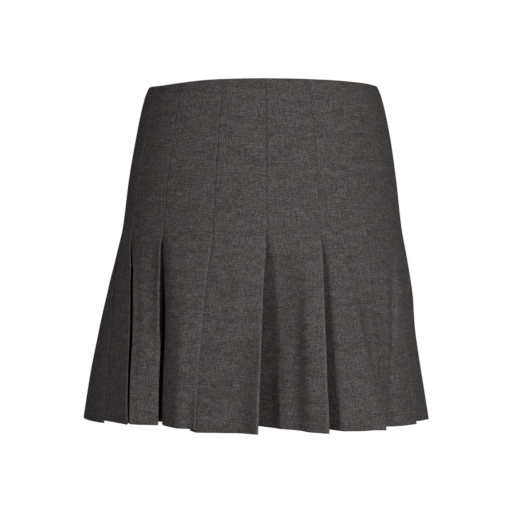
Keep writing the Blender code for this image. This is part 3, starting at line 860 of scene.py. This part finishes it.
def wound(side):
    """One spiral as a tube: its points by ring, a flat spiral down the seam with its loops to a side.

    Across it follows the cosine of the turn and out the sine, and each turn comes a pitch lower.
    """
    turns = int((ZIP_LENGTH - COIL_TOP) / COIL_PITCH)
    turned = np.linspace(0.0, 2 * math.pi * turns, turns * COIL_STEPS + 1) + (math.pi if side > 0 else 0.0)
    drops = COIL_TOP + COIL_WIRE + (turned - turned[0]) / (2 * math.pi) * COIL_PITCH
    round_here = Ovals(drops)
    seam = round_here.arc(CENTRE_BACK)
    rings = np.linspace(0.0, 2 * math.pi, COIL_SIDES, endpoint=False)[None, :]
    reach = COIL_HALF_WIDTH + COIL_WIRE * np.cos(rings)
    depth = COIL_HALF_DEPTH + COIL_WIRE * np.cos(rings)
    across = side * COIL_OFFSET + reach * np.cos(turned)[:, None]
    x, y = round_here.place(seam[:, None] + across, COIL_OUT + depth * np.sin(turned)[:, None])
    z = -drops[:, None] + COIL_WIRE * np.sin(rings)
    return np.stack([x, y, z], axis=2)


coil_mesh = bpy.data.meshes.new("zip_coil_wound")
spirals = np.stack([wound(-1), wound(1)])
rings = spirals.shape[1]
ring, corner = np.meshgrid(np.arange(rings - 1), np.arange(COIL_SIDES), indexing="ij")
here = ring * COIL_SIDES
after = here + COIL_SIDES
next_corner = (corner + 1) % COIL_SIDES
quads = np.stack([here + corner, here + next_corner, after + next_corner, after + corner], axis=2)
ends = np.arange(COIL_SIDES) + np.array([[0], [(rings - 1) * COIL_SIDES]])
faces = []
for first in (0, rings * COIL_SIDES):
    faces += (first + quads.reshape(-1, 4)).tolist() + (first + ends).tolist()
coil_mesh.from_pydata(spirals.reshape(-1, 3).tolist(), [], faces)
shape = bmesh.new()
shape.from_mesh(coil_mesh)
bmesh.ops.recalc_face_normals(shape, faces=shape.faces)
shape.to_mesh(coil_mesh)
shape.free()
coil_mesh.shade_smooth()
coil_mesh.materials.append(coil_material)
coil = bpy.data.objects.new("zip_coil_wound", coil_mesh)
bpy.context.scene.collection.objects.link(coil)
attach(coil, "skirt")
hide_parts("zip_coil")

# Slider and pull tab: die-cast zinc with a dark satin coat, their edges rounded by the casting. The
# slider grips the coil behind the seam, and the tab's eye hangs on the slider's outer bridge.
METAL_DARK = (0.135, 0.131, 0.131)
METAL_LIGHT = (0.205, 0.199, 0.199)
METAL_GRAIN = 1400.0
COAT_ROUGHNESS = 0.30
COAT_ROUGHER = 0.16
CAST_EDGE = 0.00018
CAST_SEGMENTS = 3
MERGE_WITHIN = 0.000002
PLANE_ANGLE = math.radians(1.0)
CAST_ANGLE = math.radians(35.0)

zip_metal, shader, start = new_material("zip metal")
shader.inputs["Metallic"].default_value = 1.0
coat = start.out(
    start.node("ShaderNodeTexNoise", Vector=in_object(start), Scale=METAL_GRAIN, Detail=2.0)
)
start.tree.links.new(coat.colour(METAL_DARK, METAL_LIGHT).value, shader.inputs["Base Color"])
start.tree.links.new((coat * COAT_ROUGHER + COAT_ROUGHNESS).value, shader.inputs["Roughness"])

for node, body in (("zip_slider", "skirt"), ("zip_pull", "pull")):
    cast_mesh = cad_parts[node].data.copy()
    shape = bmesh.new()
    shape.from_mesh(cast_mesh)
    bmesh.ops.remove_doubles(shape, verts=shape.verts, dist=MERGE_WITHIN)
    bmesh.ops.dissolve_limit(shape, angle_limit=PLANE_ANGLE, verts=shape.verts, edges=shape.edges)
    shape.to_mesh(cast_mesh)
    shape.free()
    cast_mesh.materials.clear()
    cast_mesh.materials.append(zip_metal)
    cast = bpy.data.objects.new(node + "_cast", cast_mesh)
    bpy.context.scene.collection.objects.link(cast)
    rounded = cast.modifiers.new("cast edges", "BEVEL")
    rounded.width = CAST_EDGE
    rounded.segments = CAST_SEGMENTS
    rounded.limit_method = "ANGLE"
    rounded.angle_limit = CAST_ANGLE
    cast_mesh.shade_smooth()
    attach(cast, body)
    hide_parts(node)

# Floor: a plain pale floor some way below the hem, which the skirt doesn't touch, because whoever
# wears the skirt holds it up.
FLOOR_AT = -0.62
FLOOR_HALF = 14.0
floor_mesh = bpy.data.meshes.new("floor")
corners = [(-1, -1), (1, -1), (1, 1), (-1, 1)]
floor_mesh.from_pydata([(x * FLOOR_HALF, y * FLOOR_HALF, FLOOR_AT) for x, y in corners], [], [(0, 1, 2, 3)])
floor = bpy.data.objects.new("floor", floor_mesh)
bpy.context.scene.collection.objects.link(floor)
pale, floor_shader = new_material("pale floor")[:2]
floor_shader.inputs["Base Color"].default_value = (0.9, 0.9, 0.9, 1.0)
floor_shader.inputs["Roughness"].default_value = 0.8
floor_shader.inputs["Emission Color"].default_value = (1.0, 1.0, 1.0, 1.0)
floor_shader.inputs["Emission Strength"].default_value = 1.0
floor_mesh.materials.append(pale)
floor.visible_diffuse = False
floor.visible_glossy = False

# Light: upright strip boxes close to the skirt, the strong one to the right of the camera, weaker ones
# in front, to its left and behind, and low faint ones beside the hem. The camera sees a white surround.
SURROUND = 0.03
STRIP_HEIGHT = 1.2


def strip_box(name, place, width, power):
    """An upright area light that looks level at the skirt's middle."""
    data = bpy.data.lights.new(name, "AREA")
    data.shape = "RECTANGLE"
    data.size, data.size_y = width, STRIP_HEIGHT
    data.energy = power
    lamp = bpy.data.objects.new(name, data)
    lamp.location = place
    aim = Vector((0.0, 0.0, place[2])) - Vector(place)
    lamp.rotation_euler = aim.to_track_quat("-Z", "Y").to_euler()
    lamp.visible_camera = False
    bpy.context.scene.collection.objects.link(lamp)


strip_box("key light", (0.43, -0.72, -0.16), 0.24, 4.3)
strip_box("front light", (0.19, -0.95, -0.16), 0.20, 2.4)
strip_box("fill light", (-0.37, -0.82, -0.16), 0.12, 3.0)
strip_box("right back light", (0.20, 0.86, -0.24), 0.24, 2.8)
strip_box("left back light", (-0.20, 0.86, -0.24), 0.24, 2.8)
strip_box("right side light", (0.70, -0.10, -0.90), 0.24, 0.8)
strip_box("left side light", (-0.64, 0.28, -0.70), 0.24, 0.4)

world = bpy.data.worlds.new("surround")
bpy.context.scene.world = world
world.use_nodes = True
tree = world.node_tree
tree.nodes.clear()
start = Socket(tree, 0.0)
seen = start.node("ShaderNodeBackground", Color=(1.0, 1.0, 1.0, 1.0), Strength=1.0)
lit = start.node("ShaderNodeBackground", Color=(1.0, 1.0, 1.0, 1.0), Strength=SURROUND)
from_camera = start.out(start.node("ShaderNodeLightPath"), "Is Camera Ray")
both = start.node("ShaderNodeMixShader", i0=from_camera, i1=start.out(lit), i2=start.out(seen))
start.node("ShaderNodeOutputWorld", Surface=start.out(both))

view = bpy.context.scene.view_settings
view.view_transform = "Standard"
view.look = "None"
